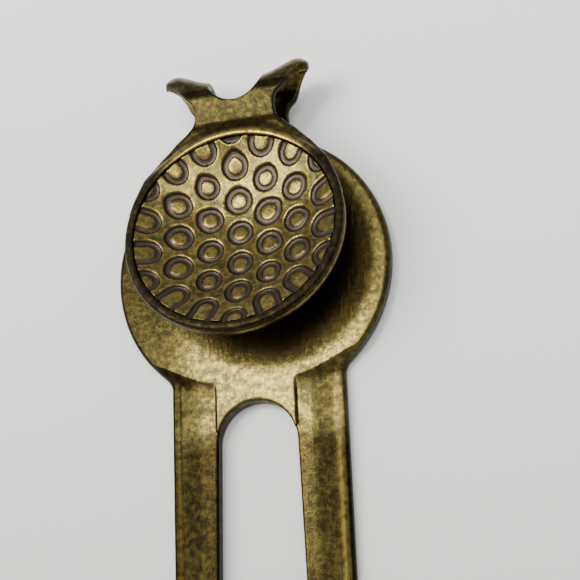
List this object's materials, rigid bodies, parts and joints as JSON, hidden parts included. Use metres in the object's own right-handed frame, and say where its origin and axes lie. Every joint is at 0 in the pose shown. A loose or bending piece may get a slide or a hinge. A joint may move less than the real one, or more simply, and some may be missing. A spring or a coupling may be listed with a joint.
{
  "type": "divot repair tool",
  "caption": "Two-pronged divot repair tool with a round head, a folded spring clip and a dished, dimpled golf-ball medallion on the clip's pad.",
  "frame": {"origin": "centre of the round head on its flat back face", "axes": "+Z out of the head's front face, towards the clip; -Y towards the prong tips; +X to the right seen from the front with the prongs down"},
  "size_m": [0.03, 0.081, 0.0103],
  "materials": {
    "fork_brass": "tarnished, satin",
    "clip_brass": "tarnished, satin",
    "medallion_brass": "tarnished, worn high spots",
    "rivet_brass": "satin"
  },
  "bodies": {
    "fork": {"fork_plate": "fork_brass", "clip_back_leaf": "clip_brass", "clip_rivets": "rivet_brass", "clip_loop_left": "clip_brass", "clip_loop_right": "clip_brass"},
    "clip_arm": {"clip_front_leaf": "clip_brass", "ball_medallion": "medallion_brass"}
  },
  "joints": [
    {"name": "clip_flex", "type": "hinge", "parent": "fork", "child": "clip_arm", "pos_m": [0, 0.0186, 0.00445], "axis": [-1, 0, 0], "range_deg": [-2, 7], "stiffness_Nm_per_rad": 1.2, "deforming": ["clip_loop_left", "clip_loop_right"]}
  ]
}
